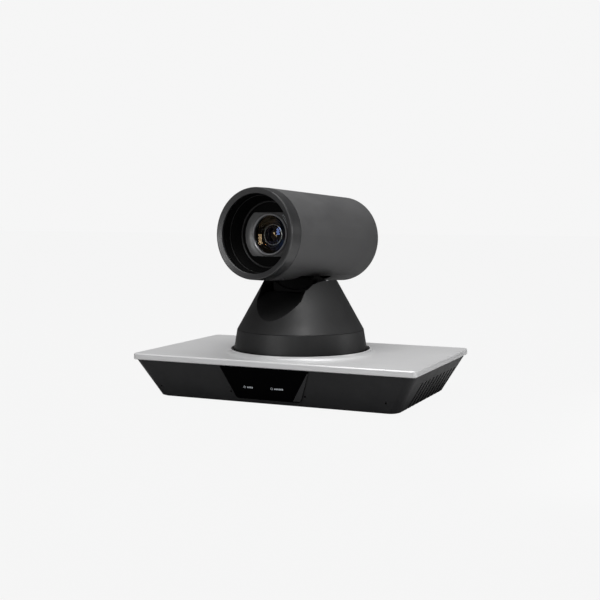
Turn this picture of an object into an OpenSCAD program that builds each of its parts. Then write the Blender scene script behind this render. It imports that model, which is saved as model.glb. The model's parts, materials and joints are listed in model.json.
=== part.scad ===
// Pan-tilt-zoom conference camera: a wedge-sided base with a metal top plate,
// a conical turret that pans, and a cylindrical head that tilts in its saddle.
// Millimetres, +Z up, front of the camera towards -Y.

/* [Base] */
// Width of the top plate
plate_w = 241.6; // [220:0.2:260]
// Depth of the top plate
plate_d = 144; // [138:1:156]
// Thickness of the top plate
plate_t = 5; // [4:0.5:6]
// Corner radius of the top plate
plate_r = 4; // [2:0.5:8]
// Height of the base from its underside to the top of the plate
base_h = 35.5; // [34:0.1:40]
// How far the body sits back under the front and side edges of the plate
overhang = 1; // [0.5:0.1:4]
// How far the body sits back under the rear edge of the plate
rear_overhang = 2.6; // [1:0.1:4]
// How far each side leans in towards the bottom
side_lean = 16.2; // [8:0.2:20]
// How far the front leans back towards the bottom
front_lean = 10.9; // [6:0.1:18]
// How far the rear leans forward towards the bottom
rear_lean = 8.2; // [4:0.2:14]
// Wall thickness of the base
base_wall = 2.5; // [2:0.1:3]
// Height of the rubber feet below the base
foot_h = 0.9; // [0.6:0.1:3]

/* [Base details] */
// Sideways place of the window and pin holes on the front
front_shift = -2.1; // [-6:0.1:6]
// Width of the front window under the plate
window_top_w = 76; // [50:1:90]
// Width of the front window at its foot
window_foot_w = 57; // [40:1:70]
// Vent slots on each side
vent_count = 10; // [6:1:12]
// Spacing of the vent slots
vent_pitch = 9.75; // [8:0.25:10]
// Width of one vent slot
vent_w = 4; // [2:0.5:5]

/* [Turret] */
// Distance of the pan axis in front of the middle of the plate
pan_forward = 5.6; // [0:0.2:8]
// Radius of the turret where it meets the plate
turret_r = 55.2; // [50:0.2:56]
// Radius of the turret at the seam under its cone
seam_r = 52; // [46:0.2:53]
// Height of the seam above the top of the plate
seam_h = 19.1; // [14:0.1:24]
// Fall of the cone's radius for each millimetre of height
cone_slope = 0.556; // [0.5:0.002:0.6]
// Clearance between the head and the saddle
saddle_gap = 0.9; // [0.6:0.1:1.5]
// Half the width of the trough between the turret's shoulders
trough_half = 21.2; // [19:0.2:23]
// Rounding of the shoulders beside the trough
shoulder_r = 11; // [8:0.5:13]
// Depth of the shoulders below the tilt axis
shoulder_drop = 34.3; // [33:0.1:37]

/* [Head] */
// Outer radius of the head
head_r = 36; // [34:0.5:38]
// Length of the head in front of the tilt axis
head_front = 66.1; // [62:0.1:72]
// Length of the head behind the tilt axis
head_rear = 69.4; // [64:0.1:74]
// Radius of the rounded rear edge
rear_round = 4.9; // [3:0.1:8]
// Length of the front hood ring
hood_len = 11.7; // [5:0.1:15]
// Height of the tilt axis above the underside of the base
pivot_h = 130.3; // [128:0.1:136]

/* [Pose] */
// How far the head is turned to the left of straight ahead
pan_rest = 9; // [-20:0.5:20]
// How far the lens is tilted up from level
tilt_rest = 3; // [-10:0.5:10]

/* [Hidden] */
$fn = 96;
eps = 0.02;

base_z = foot_h;
plate_top = base_z + base_h;
plate_z = plate_top - plate_t;
plate_y = pan_forward / 2;
pan_y = plate_y - pan_forward;
body_h = plate_z - base_z;
body_top_x = plate_w / 2 - overhang;
body_x = body_top_x - side_lean;
body_front = plate_d / 2 - overhang - front_lean;
body_rear = plate_d / 2 - rear_overhang - rear_lean;
side_angle = atan2(side_lean, body_h);
front_angle = atan2(front_lean, body_h);
face_h = body_h / cos(front_angle);
body_r = 7;
foot_round = 2.4;
floor_z = base_z + base_wall;

lip_h = 3.3;
lip_r = 57.2;
lip_w = 0.9;
lip_run = 3.6;
seam_z = plate_top + seam_h;
shell_wall = 2.2;
turret_foot = plate_top - 3;
pivot_z = base_z + pivot_h;
tilt_limit = 22;
lobe_angle = 27.5;
trough_z = -shoulder_drop - shoulder_r;

head_wall = 2;
head_in = head_r - head_wall;
seam_gap = 0.3;
hood_y = hood_len - head_front;
hood_in = head_in - 1.8;
cover_half = 33;
tube_r = 17.4;
tube_in = 15.6;
bezel_r = 22.5;
bezel_half = 17.2;
bezel_t = 6;
glass_r = 15.4;
bezel_y = 21.4 - head_front;
rod_x = 12.9;
rod_r = 1;
running = 0.05;

yoke_out = 33;
yoke_in = 28;
yoke_half = 5;
neck_half = 16;
neck_depth = 7;
slot_half = 23;
pin_r = 3;
cheek_x = 22.5;
cheek_t = 2.5;

gear_module = 1;
sector_teeth = 48;
pinion_teeth = 12;
sector_r = gear_module * sector_teeth / 2;
pinion_r = gear_module * pinion_teeth / 2;
pinion_y = sector_r + pinion_r;
gear_x = 18.3;
gear_t = 3;

hub_in = 15;
hub_bearing = 19;
hub_out = 22;
pulley_z = base_z + 19;
pulley_h = 7;
pulley_r = 30;
motor_pulley_r = 6;
motor_x = 50;

panel_y = plate_y + 57.5;
panel_t = 1.5;
port_z = base_z + 15.6;
port_open_x = 88;
port_open_h = 22;
board_z = base_z + 6.4;
rocker_axle = 6.5;
board_holes_x = [-82, -30, 30, 82];
board_holes_y = [22, 41];

screw_x = 92;
screw_y = 42;
foot_x = 80;
foot_y = 44;
foot_r = 7;

// ---- placing ----

module pan_place() {
    translate([0, pan_y, 0]) rotate([0, 0, -pan_rest]) children();
}

module tilt_place() {
    pan_place() translate([0, 0, pivot_z]) rotate([-tilt_rest, 0, 0]) children();
}

// Turns a shape drawn along Z so that Z lies along the head, from front to rear
module along_head() {
    rotate([-90, 0, 0]) children();
}

// Puts a shape on the leaning front: X across, Z up the face, -Y outwards
module on_front() {
    translate([front_shift, plate_y - body_front, base_z]) rotate([front_angle, 0, 0]) children();
}

// Puts a shape on a leaning side: Y along it, Z up the face, X outwards for side 1
module on_side(side) {
    translate([side * body_x, plate_y, base_z]) rotate([0, side * side_angle, 0]) children();
}

module on_rear(x) {
    translate([x, panel_y, port_z]) children();
}

module ring(outer, inner, h) {
    difference() {
        cylinder(r = outer, h = h);
        translate([0, 0, -1]) cylinder(r = inner, h = h + 2);
    }
}

module corner_posts(x, y_front, y_rear, r, z, h) {
    for (sx = [-1, 1], y = [-y_front + r, y_rear - r])
        translate([sx * (x - r), plate_y + y, z]) cylinder(r = r, h = h, $fn = 32);
}

// ---- base ----

// The wedge-sided body, drawn in from its skin by inset, with a rounded foot
module body_block(inset, foot, z_low, z_high) {
    lean = (z_high - base_z) / body_h;
    low = (z_low - base_z) / body_h;
    r = max(body_r - inset, 2);
    hull() {
        for (a = [0, 45, 90]) {
            drop = foot * (1 - sin(a));
            rise = foot * (1 - cos(a));
            corner_posts(body_x + side_lean * low - inset - drop, body_front + front_lean * low - inset - drop,
                body_rear + rear_lean * low - inset - drop, r, z_low + rise, eps);
        }
        corner_posts(body_x + side_lean * lean - inset, body_front + front_lean * lean - inset,
            body_rear + rear_lean * lean - inset, r, z_high - eps, eps);
    }
}

module window_outline(grow) {
    top_z = face_h - 0.6;
    foot_z = 4.2;
    round_r = 3 + grow;
    hull() {
        for (s = [-1, 1])
            translate([s * (window_foot_w / 2 - 3), foot_z + 3]) circle(r = round_r, $fn = 32);
        translate([-window_top_w / 2 - grow, top_z]) square([window_top_w + 2 * grow, 0.01]);
    }
}

module window_slab(grow, outer, depth) {
    translate([0, outer + depth, 0]) rotate([90, 0, 0]) linear_extrude(depth) window_outline(grow);
}

module vent_slots(side) {
    first = -35;
    top = 24.5;
    on_side(side)
        for (i = [0:vent_count - 1]) translate([0, first + i * vent_pitch, 0]) {
            translate([-6, -vent_w / 2, -6]) cube([12, vent_w, top + 6 - vent_w / 2]);
            translate([-6, 0, top - vent_w / 2]) rotate([0, 90, 0]) cylinder(r = vent_w / 2, h = 12);
        }
}

module pin_holes(r, depth, start) {
    pins = [-96.8, -32.5, 31.4, 97];
    on_front()
        for (x = pins) translate([x, start, 9.1]) rotate([-90, 0, 0]) cylinder(r = r, h = depth);
}

module base_tray() {
    color([0.13, 0.13, 0.14]) difference() {
        union() {
            difference() {
                body_block(0, foot_round, base_z, plate_z);
                body_block(base_wall, 0, floor_z, plate_z + 3);
            }
            translate([0, pan_y, base_z]) cylinder(r = 10, h = 9);
            for (x = board_holes_x, y = board_holes_y)
                translate([x, plate_y + y, base_z + 1]) cylinder(r = 3, h = board_z - base_z - 1);
        }
        on_front() window_slab(0.15, -4, 8);
        for (side = [-1, 1]) vent_slots(side);
        pin_holes(0.9, 8, -3);
        translate([-port_open_x, panel_y + panel_t, port_z - port_open_h / 2])
            cube([2 * port_open_x, 14, port_open_h]);
        translate([0, pan_y, base_z - 1]) cylinder(r = 5.5, h = 9);
        translate([0, pan_y, base_z + 7]) cylinder(r = 3.4, h = 4);
        for (sx = [-1, 1], sy = [-1, 1]) {
            translate([sx * screw_x, plate_y + sy * screw_y, base_z - 1]) cylinder(r = 1.7, h = 6);
            translate([sx * screw_x, plate_y + sy * screw_y, base_z - eps])
                cylinder(r1 = 3.2, r2 = 1.7, h = 1.6);
            translate([sx * foot_x, plate_y + sy * foot_y, base_z - 1]) cylinder(r = foot_r + 0.1, h = 1.8);
        }
    }
}

module top_plate() {
    top_cut = 0.9;
    foot_cut = 0.5;
    x = plate_w / 2;
    y = plate_d / 2;
    curve = [for (a = [0:15:90]) [lip_r + lip_w + lip_run * (1 - sin(a)), lip_h * (1 - cos(a))]];
    color([0.74, 0.74, 0.75]) union() {
        difference() {
            hull() {
                corner_posts(x - top_cut, y - top_cut, y - top_cut, plate_r - top_cut, plate_top - eps, eps);
                corner_posts(x, y, y, plate_r, plate_top - top_cut, eps);
                corner_posts(x, y, y, plate_r, plate_z + foot_cut, eps);
                corner_posts(x - foot_cut, y - foot_cut, y - foot_cut, plate_r - foot_cut, plate_z, eps);
            }
            translate([0, pan_y, plate_z - 1]) cylinder(r = lip_r, h = plate_t + 2);
        }
        translate([0, pan_y, plate_top]) rotate_extrude()
            polygon(concat([[lip_r, lip_h], [lip_r, -1]], [[lip_r + lip_w + lip_run, -1]], curve));
        for (sx = [-1, 1], sy = [-1, 1]) translate([sx * screw_x, plate_y + sy * screw_y, floor_z])
            ring(3.6, 1.55, plate_z - floor_z + eps);
    }
}

module front_window() {
    color([0.01, 0.01, 0.01]) difference() {
        on_front() {
            window_slab(0, -0.7, 3.2);
            window_slab(1.4, 2.4, 1.1);
        }
        translate([-60, -plate_d, plate_z - 0.3]) cube([120, plate_d, 10]);
    }
}

module status_board() {
    color([0.05, 0.3, 0.16]) on_front()
        translate([-24, 8, 8]) cube([48, 1.2, 18]);
}

module status_leds() {
    color([0.7, 0.9, 0.8]) on_front()
        for (x = [-12, 12]) translate([x, 4, 15]) rotate([-90, 0, 0]) cylinder(r = 1.5, h = 4);
}

module ir_receiver() {
    color([0.08, 0.08, 0.1]) on_front() {
        translate([-3, 5.5, 17]) cube([6, 2.5, 7]);
        translate([0, 5.6, 20.5]) rotate([90, 0, 0]) cylinder(r = 2.2, h = 1.6);
    }
}

module microphones() {
    color([0.6, 0.6, 0.6]) pin_holes(1.6, 2, 3.6);
}

module vent_screens() {
    color([0.1, 0.1, 0.1]) for (side = [-1, 1]) on_side(side)
        translate([side > 0 ? -3.3 : 2.8, -37.7, 5]) cube([0.5, 92.9, 23]);
}

module main_board() {
    color([0.05, 0.3, 0.16]) difference() {
        union() {
            translate([-86, plate_y + 18, board_z]) cube([172, 26.5, 1.6]);
            translate([-73, plate_y + 44, board_z]) cube([133, 12, 1.6]);
            translate([-20, plate_y + 26, board_z + 1.6 - eps]) cube([26, 14, 2.4]);
            translate([-70, plate_y + 24, board_z + 1.6 - eps]) cube([14, 10, 4]);
        }
        for (x = board_holes_x, y = board_holes_y)
            translate([x, plate_y + y, board_z - 1]) cylinder(r = 1.4, h = 4);
    }
}

module rear_panel() {
    hole_h = 16;
    color([0.1, 0.1, 0.1]) difference() {
        translate([-92, panel_y, floor_z]) cube([184, panel_t, plate_z - floor_z]);
        for (p = [[16.4, 0], [14.6, 46], [15.4, -22], [13.6, -42]])
            on_rear(p[1]) translate([-p[0] / 2, -1, -hole_h / 2]) cube([p[0], 4, hole_h]);
        on_rear(74) translate([-7, -1, -10]) cube([14, 4, 20]);
        on_rear(26) rotate([-90, 0, 0]) translate([0, 0, -1]) cylinder(r = 5, h = 4);
        for (x = [-56, -67]) on_rear(x) rotate([-90, 0, 0]) translate([0, 0, -1]) cylinder(r = 3.2, h = 4);
        for (z = [-6, 6]) translate([-80, panel_y - 1, port_z + z])
            rotate([-90, 0, 0]) cylinder(r = 5.4, h = 4);
        for (x = [-89.5, 87]) translate([x, panel_y - 1, port_z]) rotate([-90, 0, 0]) cylinder(r = 1.25, h = 4);
    }
}

// A shell with an open socket that faces the rear
module socket(w, h, wall, depth, x, proud) {
    on_rear(x) difference() {
        translate([-w / 2 - wall, panel_t + proud - depth, -h / 2 - wall])
            cube([w + 2 * wall, depth, h + 2 * wall]);
        translate([-w / 2, panel_t + proud - depth + wall, -h / 2]) cube([w, depth, h]);
    }
}

module dc_jack() {
    color([0.05, 0.05, 0.05]) on_rear(46) difference() {
        union() {
            translate([-7, -12, -7]) cube([14, 14, 14]);
            translate([0, 1.9, 0]) rotate([-90, 0, 0]) cylinder(r = 4.6, h = 1.1);
        }
        translate([0, -8, 0]) rotate([-90, 0, 0]) ring(3, 1, 13);
    }
}

module power_switch() {
    color([0.04, 0.04, 0.04]) on_rear(74) difference() {
        union() {
            translate([-6.8, -12, -9.8]) cube([13.6, 13.6, 19.6]);
            translate([-8, panel_t + eps, -10.8]) cube([16, 1.6, 21.6]);
        }
        translate([-5.9, -9, -8.6]) cube([11.8, 14, 17.2]);
        translate([-rocker_axle, -3, 0]) rotate([0, 90, 0]) cylinder(r = 1.2 + running, h = 2 * rocker_axle);
    }
}

module power_rocker() {
    lean = 8;
    color([0.03, 0.03, 0.03]) on_rear(74) translate([0, -3, 0]) rotate([lean, 0, 0]) {
        rotate([90, 0, 90]) translate([0, 0, -5.5]) linear_extrude(11)
            polygon([[-3, -3], [-3, 3], [5.6, 7.8], [7.4, 7.6], [6, 0], [7.4, -7.6], [5.6, -7.8]]);
        translate([0.1 - rocker_axle, 0, 0]) rotate([0, 90, 0]) cylinder(r = 1.2, h = 2 * rocker_axle - 0.2);
    }
}

module sdi_jack() {
    color([0.7, 0.7, 0.68]) on_rear(26) rotate([-90, 0, 0]) {
        difference() {
            union() {
                translate([0, 0, -8]) cylinder(r = 4.83, h = 18.5);
                translate([0, 0, -9]) cylinder(r = 7, h = 8.9);
                translate([0, 0, panel_t]) ring(6.6, 4, 1.8);
                translate([-5.8, 0, 7.5]) rotate([0, 90, 0]) cylinder(r = 1, h = 11.6);
            }
            translate([0, 0, 2]) cylinder(r = 3.4, h = 12);
        }
        translate([0, 0, 1]) cylinder(r = 1.1, h = 8);
    }
}

module hdmi_port() {
    color([0.7, 0.7, 0.7]) socket(14.2, 4.8, 0.6, 12, 0, 0.8);
}

module usb_port() {
    color([0.7, 0.7, 0.7]) socket(12.6, 5.2, 0.5, 15, -22, 0.8);
}

module lan_jack() {
    color([0.6, 0.6, 0.6]) union() {
        socket(11.8, 8.4, 0.8, 15, -42, 0.4);
        on_rear(-42) translate([-6.7, panel_t + 0.4 - 15, 4.9]) cube([13.4, 15, 2.2]);
    }
}

module audio_jacks() {
    color([0.08, 0.08, 0.08]) for (x = [-56, -67]) on_rear(x) difference() {
        union() {
            translate([-4.6, -13, -5]) cube([9.2, 12.9, 10]);
            translate([0, -0.2, 0]) rotate([-90, 0, 0]) cylinder(r = 3.1, h = 3.2);
        }
        translate([0, -11, 0]) rotate([-90, 0, 0]) cylinder(r = 1.8, h = 20);
    }
}

module serial_jacks() {
    color([0.08, 0.08, 0.08]) for (z = [-6, 6]) translate([-80, panel_y, port_z + z])
        rotate([-90, 0, 0]) difference() {
            translate([0, 0, -9]) cylinder(r = 5.3, h = 11.5);
            translate([0, 0, -4.5]) cylinder(r = 4.6, h = 12);
        }
}

module feet() {
    color([0.06, 0.06, 0.06]) for (sx = [-1, 1], sy = [-1, 1])
        translate([sx * foot_x, plate_y + sy * foot_y, 0]) {
            cylinder(r1 = foot_r - 0.5, r2 = foot_r, h = 0.5);
            translate([0, 0, 0.5 - eps]) cylinder(r = foot_r, h = base_z + 0.3);
        }
}

module tripod_insert() {
    color([0.75, 0.62, 0.35]) translate([0, pan_y, base_z]) ring(5.45, 2.55, 7.9);
}

module base_screws() {
    color([0.25, 0.25, 0.25]) for (sx = [-1, 1], sy = [-1, 1])
        translate([sx * screw_x, plate_y + sy * screw_y, base_z]) difference() {
            union() {
                cylinder(r1 = 3, r2 = 1.45, h = 1.5);
                cylinder(r = 1.45, h = 12);
            }
            translate([-2, -0.4, -1]) cube([4, 0.8, 1.6]);
            translate([-0.4, -2, -1]) cube([0.8, 4, 1.6]);
        }
}

module panel_screws() {
    color([0.6, 0.6, 0.6]) for (x = [-89.5, 87])
        translate([x, panel_y + panel_t, port_z]) rotate([-90, 0, 0]) {
            difference() {
                cylinder(r = 2, h = 1.2);
                translate([-1.3, -0.3, 0.6]) cube([2.6, 0.6, 1]);
                translate([-0.3, -1.3, 0.6]) cube([0.6, 2.6, 1]);
            }
            translate([0, 0, -5]) cylinder(r = 1.2, h = 5 + eps);
        }
}

// ---- pan drive ----

module pan_pedestal() {
    color([0.6, 0.6, 0.62]) translate([0, pan_y, floor_z]) difference() {
        union() {
            cylinder(r = 26, h = 2.5);
            cylinder(r = hub_in - 0.03, h = plate_z - floor_z + 1);
        }
        translate([0, 0, -1]) cylinder(r = 11, h = 40);
        translate([0, 8, 10]) rotate([-90, 0, 0]) cylinder(r = 3, h = 10);
        for (a = [45:90:315]) rotate([0, 0, a]) translate([20.5, 0, -1]) cylinder(r = 1.7, h = 6);
    }
}

module pan_bearings() {
    color([0.8, 0.8, 0.82]) translate([0, pan_y, 0])
        for (z = [base_z + 7, base_z + 26]) translate([0, 0, z]) ring(hub_bearing - running, hub_in, 4);
}

module pan_motor() {
    color([0.3, 0.3, 0.32]) translate([motor_x, pan_y, 0]) {
        translate([-17.5, -17.5, floor_z + 0.2]) cube([35, 35, 14]);
        translate([0, 0, floor_z + 14]) cylinder(r = 11, h = 1.6);
        cylinder_z = floor_z + 15;
        translate([0, 0, cylinder_z]) cylinder(r = 2.5, h = pulley_z + pulley_h + 1 - cylinder_z);
    }
}

module pan_motor_pulley() {
    color([0.75, 0.75, 0.77]) translate([motor_x, pan_y, pulley_z]) difference() {
        union() {
            cylinder(r = motor_pulley_r, h = pulley_h);
            cylinder(r = motor_pulley_r + 2, h = 0.8);
            translate([0, 0, pulley_h - 0.8]) cylinder(r = motor_pulley_r + 2, h = 0.8);
        }
        translate([0, 0, -1]) cylinder(r = 2.5 + running, h = pulley_h + 2);
    }
}

module belt_outline(grow) {
    hull() {
        circle(r = pulley_r + grow);
        translate([motor_x, 0]) circle(r = motor_pulley_r + grow, $fn = 32);
    }
}

module pan_belt() {
    color([0.05, 0.05, 0.05]) translate([0, pan_y, pulley_z + 1.2]) linear_extrude(pulley_h - 2.4)
        difference() {
            belt_outline(1.5);
            belt_outline(0.3);
        }
}

// ---- turret ----

module turret_pulley() {
    color([0.75, 0.75, 0.77]) pan_place() translate([0, 0, pulley_z]) difference() {
        union() {
            cylinder(r = pulley_r, h = pulley_h);
            cylinder(r = pulley_r + 2, h = 0.8);
            translate([0, 0, pulley_h - 0.8]) cylinder(r = pulley_r + 2, h = 0.8);
        }
        translate([0, 0, -1]) cylinder(r = hub_out + 0.02, h = pulley_h + 2);
    }
}

module turret_plate() {
    hub_z = base_z + 6.5;
    color([0.55, 0.55, 0.57]) pan_place() difference() {
        union() {
            translate([0, 0, hub_z]) cylinder(r = hub_out, h = turret_foot - hub_z + 1);
            translate([0, 0, turret_foot]) cylinder(r = turret_r - shell_wall - 0.2, h = 2.4);
            for (a = [30:120:270]) rotate([0, 0, a]) translate([45, 0, turret_foot])
                cylinder(r = 4, h = seam_z - turret_foot - 0.4);
        }
        translate([0, 0, hub_z - 1]) cylinder(r = hub_bearing, h = 60);
        for (a = [30:120:270]) rotate([0, 0, a]) translate([45, 0, turret_foot + 4]) cylinder(r = 1.5, h = 30);
    }
}

module turret_ring() {
    low_r = turret_r;
    top_r = seam_r + 0.1;
    color([0.12, 0.12, 0.12]) pan_place() rotate_extrude() polygon([
        [low_r - shell_wall, turret_foot], [low_r, turret_foot], [low_r, plate_top],
        [top_r, seam_z - 0.35], [top_r - 0.5, seam_z], [top_r - shell_wall, seam_z],
        [low_r - shell_wall, plate_top]
    ]);
}

function cone_r(z, inset) = seam_r - inset - cone_slope * (z - seam_z);

// The space a barrel of radius r sweeps about the tilt axis, angle degrees each way
module head_sweep(r, angle) {
    far = 90;
    sphere(r = r);
    rotate([angle, 0, 0]) rotate([90, 0, 0]) cylinder(r = r, h = far);
    rotate([-angle, 0, 0]) rotate([-90, 0, 0]) cylinder(r = r, h = far);
    rotate([90, 0, 0]) translate([0, 0, -far]) cylinder(r = r, h = 2 * far);
}

// The front-to-back trough between two rounded shoulders, widened by grow
module trough(grow) {
    x = trough_half + shoulder_r;
    r = shoulder_r - grow;
    far = 80;
    rotate([90, 0, 0]) translate([0, 0, -far]) linear_extrude(2 * far) union() {
        difference() {
            translate([-x, -far]) square([2 * x, 2 * far]);
            for (s = [-1, 1]) translate([s * x, trough_z]) {
                circle(r = r);
                translate([s > 0 ? -r : 0, -far]) square([r, far]);
            }
        }
        translate([-far, trough_z + r]) square([2 * far, far]);
    }
}

// What is cut away from the cone for the head, grown by the wall for the inside of the shell
module saddle_cut(grow) {
    r = head_r + saddle_gap + grow;
    far = 160;
    head_sweep(r, tilt_limit);
    intersection() {
        trough(grow);
        union() {
            head_sweep(r, lobe_angle);
            translate([-far / 2, -far / 2, trough_z - grow]) cube(far);
        }
    }
}

module cone(inset, z_low, z_high) {
    translate([0, 0, z_low])
        cylinder(r1 = cone_r(z_low, inset), r2 = cone_r(z_high, inset), h = z_high - z_low);
}

module turret_shell() {
    thick = shell_wall / cos(atan(cone_slope));
    color([0.12, 0.12, 0.12]) pan_place() difference() {
        cone(0, seam_z + 0.05, pivot_z - shoulder_drop + 2);
        difference() {
            cone(thick, seam_z - 1, pivot_z - shoulder_drop + 1);
            translate([0, 0, pivot_z]) saddle_cut(shell_wall);
        }
        translate([0, 0, pivot_z]) saddle_cut(0);
        translate([-neck_half - 0.3, -neck_depth - 0.3, seam_z])
            cube([2 * neck_half + 0.6, 2 * neck_depth + 0.6, 60]);
    }
}

module turret_screws() {
    color([0.3, 0.3, 0.3]) pan_place() for (a = [30:120:270]) rotate([0, 0, a])
        translate([45, 0, seam_z - 0.3]) {
            translate([0, 0, -8]) cylinder(r = 1.4, h = 8);
            cylinder(r = 2.6, h = 1.5);
        }
}

module yoke() {
    foot_y_half = 14;
    neck_top = 33.5;
    top_z = turret_foot + 2.4;
    color([0.62, 0.62, 0.64]) pan_place() difference() {
        union() {
            translate([-30, -foot_y_half, top_z]) cube([60, 2 * foot_y_half, 3]);
            translate([-neck_half, -neck_depth, top_z])
                cube([2 * neck_half, 2 * neck_depth, pivot_z - neck_top - top_z]);
            translate([0, 0, pivot_z]) rotate([90, 0, 0]) translate([0, 0, -yoke_half])
                linear_extrude(2 * yoke_half) difference() {
                    circle(r = yoke_out);
                    circle(r = yoke_in);
                    translate([-50, 0]) square([100, 50]);
                }
            for (s = [-1, 1]) translate([s * (yoke_in + yoke_out) / 2, 0, pivot_z]) rotate([0, 90, 0])
                cylinder(r = 6, h = yoke_out - yoke_in, center = true);
            translate([-neck_half, -yoke_half, pivot_z - neck_top - 1])
                cube([2 * neck_half, 2 * yoke_half, neck_top - 27]);
            translate([0, 0, pivot_z]) cradle();
        }
        translate([0, yoke_half + 1, pivot_z]) rotate([90, 0, 0]) cylinder(r = yoke_in, h = 2 * yoke_half + 2);
        translate([-50, 0, pivot_z]) rotate([0, 90, 0]) cylinder(r = pin_r + 0.01, h = 100);
        translate([0, 0, top_z - 1]) cylinder(r = 9, h = 5);
        for (x = [-25, 25], y = [-9, 9]) translate([x, y, top_z - 1]) cylinder(r = 1.7, h = 6);
    }
}

// The curved pad on the neck that fills the trough under the head
module cradle() {
    half = trough_half - 0.5;
    depth = neck_depth + 2;
    difference() {
        translate([-half, -depth, trough_z + 0.3]) cube([2 * half, 2 * depth, 12]);
        head_sweep(head_r + saddle_gap, tilt_limit);
    }
}

module tilt_pins() {
    color([0.8, 0.8, 0.82]) pan_place() translate([0, 0, pivot_z]) rotate([0, 90, 0]) {
        translate([0, 0, gear_x]) cylinder(r = pin_r, h = yoke_out - gear_x);
        translate([0, 0, -yoke_out]) cylinder(r = pin_r, h = yoke_out - cheek_x + 1);
    }
}

// One straight-sided gear tooth that points along +X from the pitch circle's centre
module tooth(pitch_r) {
    root = 0.92 * gear_module;
    tip = 0.3 * gear_module;
    polygon([[pitch_r - 1.6, -root], [pitch_r + 0.85, -tip], [pitch_r + 0.85, tip], [pitch_r - 1.6, root]]);
}

// Draws a flat shape, with +X towards the rear of the head, in the gear plane
module in_gear_plane(thick) {
    translate([gear_x, 0, 0]) rotate([90, 0, 90]) linear_extrude(thick) children();
}

module tilt_sector() {
    half = 37.5;
    step = 360 / sector_teeth;
    color([0.85, 0.83, 0.75]) pan_place() translate([0, 0, pivot_z]) difference() {
        in_gear_plane(gear_t) {
            circle(r = 7);
            intersection() {
                circle(r = sector_r - 1.2);
                polygon([[0, 0], for (a = [-half - 3, 0, half + 3]) [50 * cos(a), 50 * sin(a)]]);
            }
            for (a = [-half:step:half]) rotate(a) tooth(sector_r);
        }
        rotate([0, 90, 0]) cylinder(r = pin_r + 0.01, h = 40);
    }
}

// ---- head ----

module revolve_head() {
    along_head() rotate_extrude() children();
}

// A wedge along the underside of the head, half degrees wide on each side
module belly_wedge(half, y_front, y_rear) {
    far = 60;
    translate([0, y_rear, 0]) rotate([90, 0, 0]) linear_extrude(y_rear - y_front)
        polygon([[0, 0], [-far * sin(half), -far * cos(half)], [0, -far * 1.1], [far * sin(half), -far * cos(half)]]);
}

module head_skin(y_front) {
    inner_round = rear_round - head_wall;
    revolve_head() difference() {
        union() {
            translate([0, y_front]) square([head_r, head_rear - rear_round - y_front]);
            translate([0, y_front]) square([head_r - rear_round, head_rear - y_front]);
            translate([head_r - rear_round, head_rear - rear_round]) circle(r = rear_round);
        }
        translate([-1, y_front - 1]) square([head_in + 1, head_rear - rear_round - y_front + 1]);
        translate([-1, y_front - 1]) square([head_in - inner_round + 1, head_rear - head_wall - y_front + 1]);
        translate([head_in - inner_round, head_rear - rear_round]) circle(r = inner_round);
        translate([-100, y_front - 50]) square([100, 200]);
    }
}

cover_front = hood_y + 0.3;
cover_rear = head_rear - rear_round - 1;
rib_ys = [-42.8, 56];
rib_t = 6;
cover_screws = [[-9, -39.8], [9, -39.8], [-9, 59], [9, 59]];

module head_shell() {
    color([0.27, 0.27, 0.28]) tilt_place() difference() {
        union() {
            difference() {
                head_skin(hood_y + 0.25);
                belly_wedge(cover_half, hood_y - 5, cover_rear);
            }
            for (y = rib_ys) translate([0, y, 0]) along_head() ring(head_in - 0.05, 27, rib_t);
            for (y = rib_ys) difference() {
                translate([0, y, 0]) along_head() ring(head_in + 0.5, head_in - 1, rib_t);
                belly_wedge(cover_half + 3, -90, 90);
            }
        }
        for (p = cover_screws) translate([p[0], p[1], -40]) cylinder(r = 1.3, h = 20);
    }
}

module head_cover() {
    color([0.25, 0.25, 0.26]) tilt_place() difference() {
        intersection() {
            head_skin(hood_y + 0.25);
            belly_wedge(cover_half - 0.4, cover_front, cover_rear - seam_gap);
        }
        translate([-neck_half - 1, -slot_half, -60]) cube([2 * neck_half + 2, 2 * slot_half, 40]);
        for (p = cover_screws) {
            translate([p[0], p[1], -40]) cylinder(r = 1.6, h = 20);
            translate([p[0], p[1], -40]) cylinder(r = 2.7, h = 6.25);
        }
    }
}

module head_screws() {
    color([0.3, 0.3, 0.3]) tilt_place() for (p = cover_screws) translate([p[0], p[1], 0]) difference() {
        union() {
            translate([0, 0, -34.7]) cylinder(r = 1.25, h = 5.5);
            translate([0, 0, -34.7]) cylinder(r = 2.4, h = 0.9);
        }
        translate([0, 0, -35.2]) cylinder(r = 1, h = 1, $fn = 6);
    }
}

module hood_ring() {
    front = -head_front;
    color([0.15, 0.15, 0.15]) tilt_place() revolve_head() polygon([
        [head_r - 0.6, front + 0.3], [head_r - 0.4, front + 1], [head_r, hood_y], [head_in - 0.1, hood_y],
        [head_in - 0.1, hood_y + 4], [hood_in, hood_y + 4], [hood_in, front + 4.3],
        [31, front + 3.6], [30.9, front + 1.5], [31.2, front + 1.1], [head_r - 1.4, front]
    ]);
}

// The stepped funnel behind the hood, drawn by its depth behind the hood's rim
module lens_baffle() {
    f = -head_front;
    t = 1.1;
    floor_y = f + 22;
    floor_r = 26;
    color([0.02, 0.02, 0.02]) tilt_place() union() {
        difference() {
            translate([0, floor_y, 0]) along_head() cylinder(r = floor_r + t, h = t);
            flat_disc(bezel_r + 0.2, bezel_half + 0.2, floor_y - 5, floor_y + 5);
        }
        revolve_head() polygon([
            [31, f + 4.6], [30.6, f + 10.6], [30, f + 11.2], [26.5, f + 21.2], [floor_r, floor_y],
            [floor_r, floor_y + t], [floor_r + t, floor_y + t], [31.7, f + 11], [32.1, f + 4.6]
        ]);
    }
}

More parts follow.
